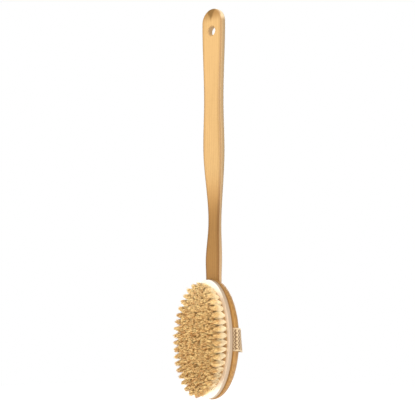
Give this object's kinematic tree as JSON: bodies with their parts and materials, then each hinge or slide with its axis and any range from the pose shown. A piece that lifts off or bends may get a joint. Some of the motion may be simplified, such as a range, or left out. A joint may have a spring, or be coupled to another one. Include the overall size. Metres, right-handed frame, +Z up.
{
  "type": "body dry brush",
  "caption": "Body dry brush: oval two-layer wooden head with rows of plant-fibre tufts, a cotton hand strap and a removable long curved wooden handle with a hanging hole.",
  "frame": {"origin": "centre of the hanging hole in the handle, half way through its thickness", "axes": "+Z up along the handle as it hangs, bristles along -Y, hand strap on the +Y side, +X to the right seen from the bristle side"},
  "size_m": [0.0776, 0.0521, 0.4293],
  "materials": {
    "handle_wood": "clear semi-gloss lacquer on honey-coloured wood",
    "block_wood": "clear satin lacquer on honey-coloured wood",
    "board_wood": "pale, lightly sanded wood with a thin matt varnish",
    "bristle_fibre": "straw-coloured plant fibre, dry and slightly glossy",
    "strap_webbing": "woven cotton webbing in cream and tan",
    "anchor_wire": "flat zinc-plated wire",
    "staple_wire": "plain drawn wire"
  },
  "bodies": {
    "handle": {"handle": "handle_wood"},
    "head": {"head_block": "block_wood", "bristle_board": "board_wood", "hand_strap": "strap_webbing", "strap_staples": "staple_wire", "bristle_ring_1": "bristle_fibre", "bristle_ring_2": "bristle_fibre", "bristle_ring_3": "bristle_fibre", "bristle_ring_4": "bristle_fibre", "bristle_ring_5": "bristle_fibre", "tuft_anchors_ring_1": "anchor_wire", "tuft_anchors_ring_2": "anchor_wire", "tuft_anchors_ring_3": "anchor_wire", "tuft_anchors_ring_4": "anchor_wire", "tuft_anchors_ring_5": "anchor_wire"}
  },
  "joints": [
    {"name": "head_slide", "type": "slide", "parent": "handle", "child": "head", "axis": [0, 0, -1], "range_m": [0, 0.055]}
  ]
}
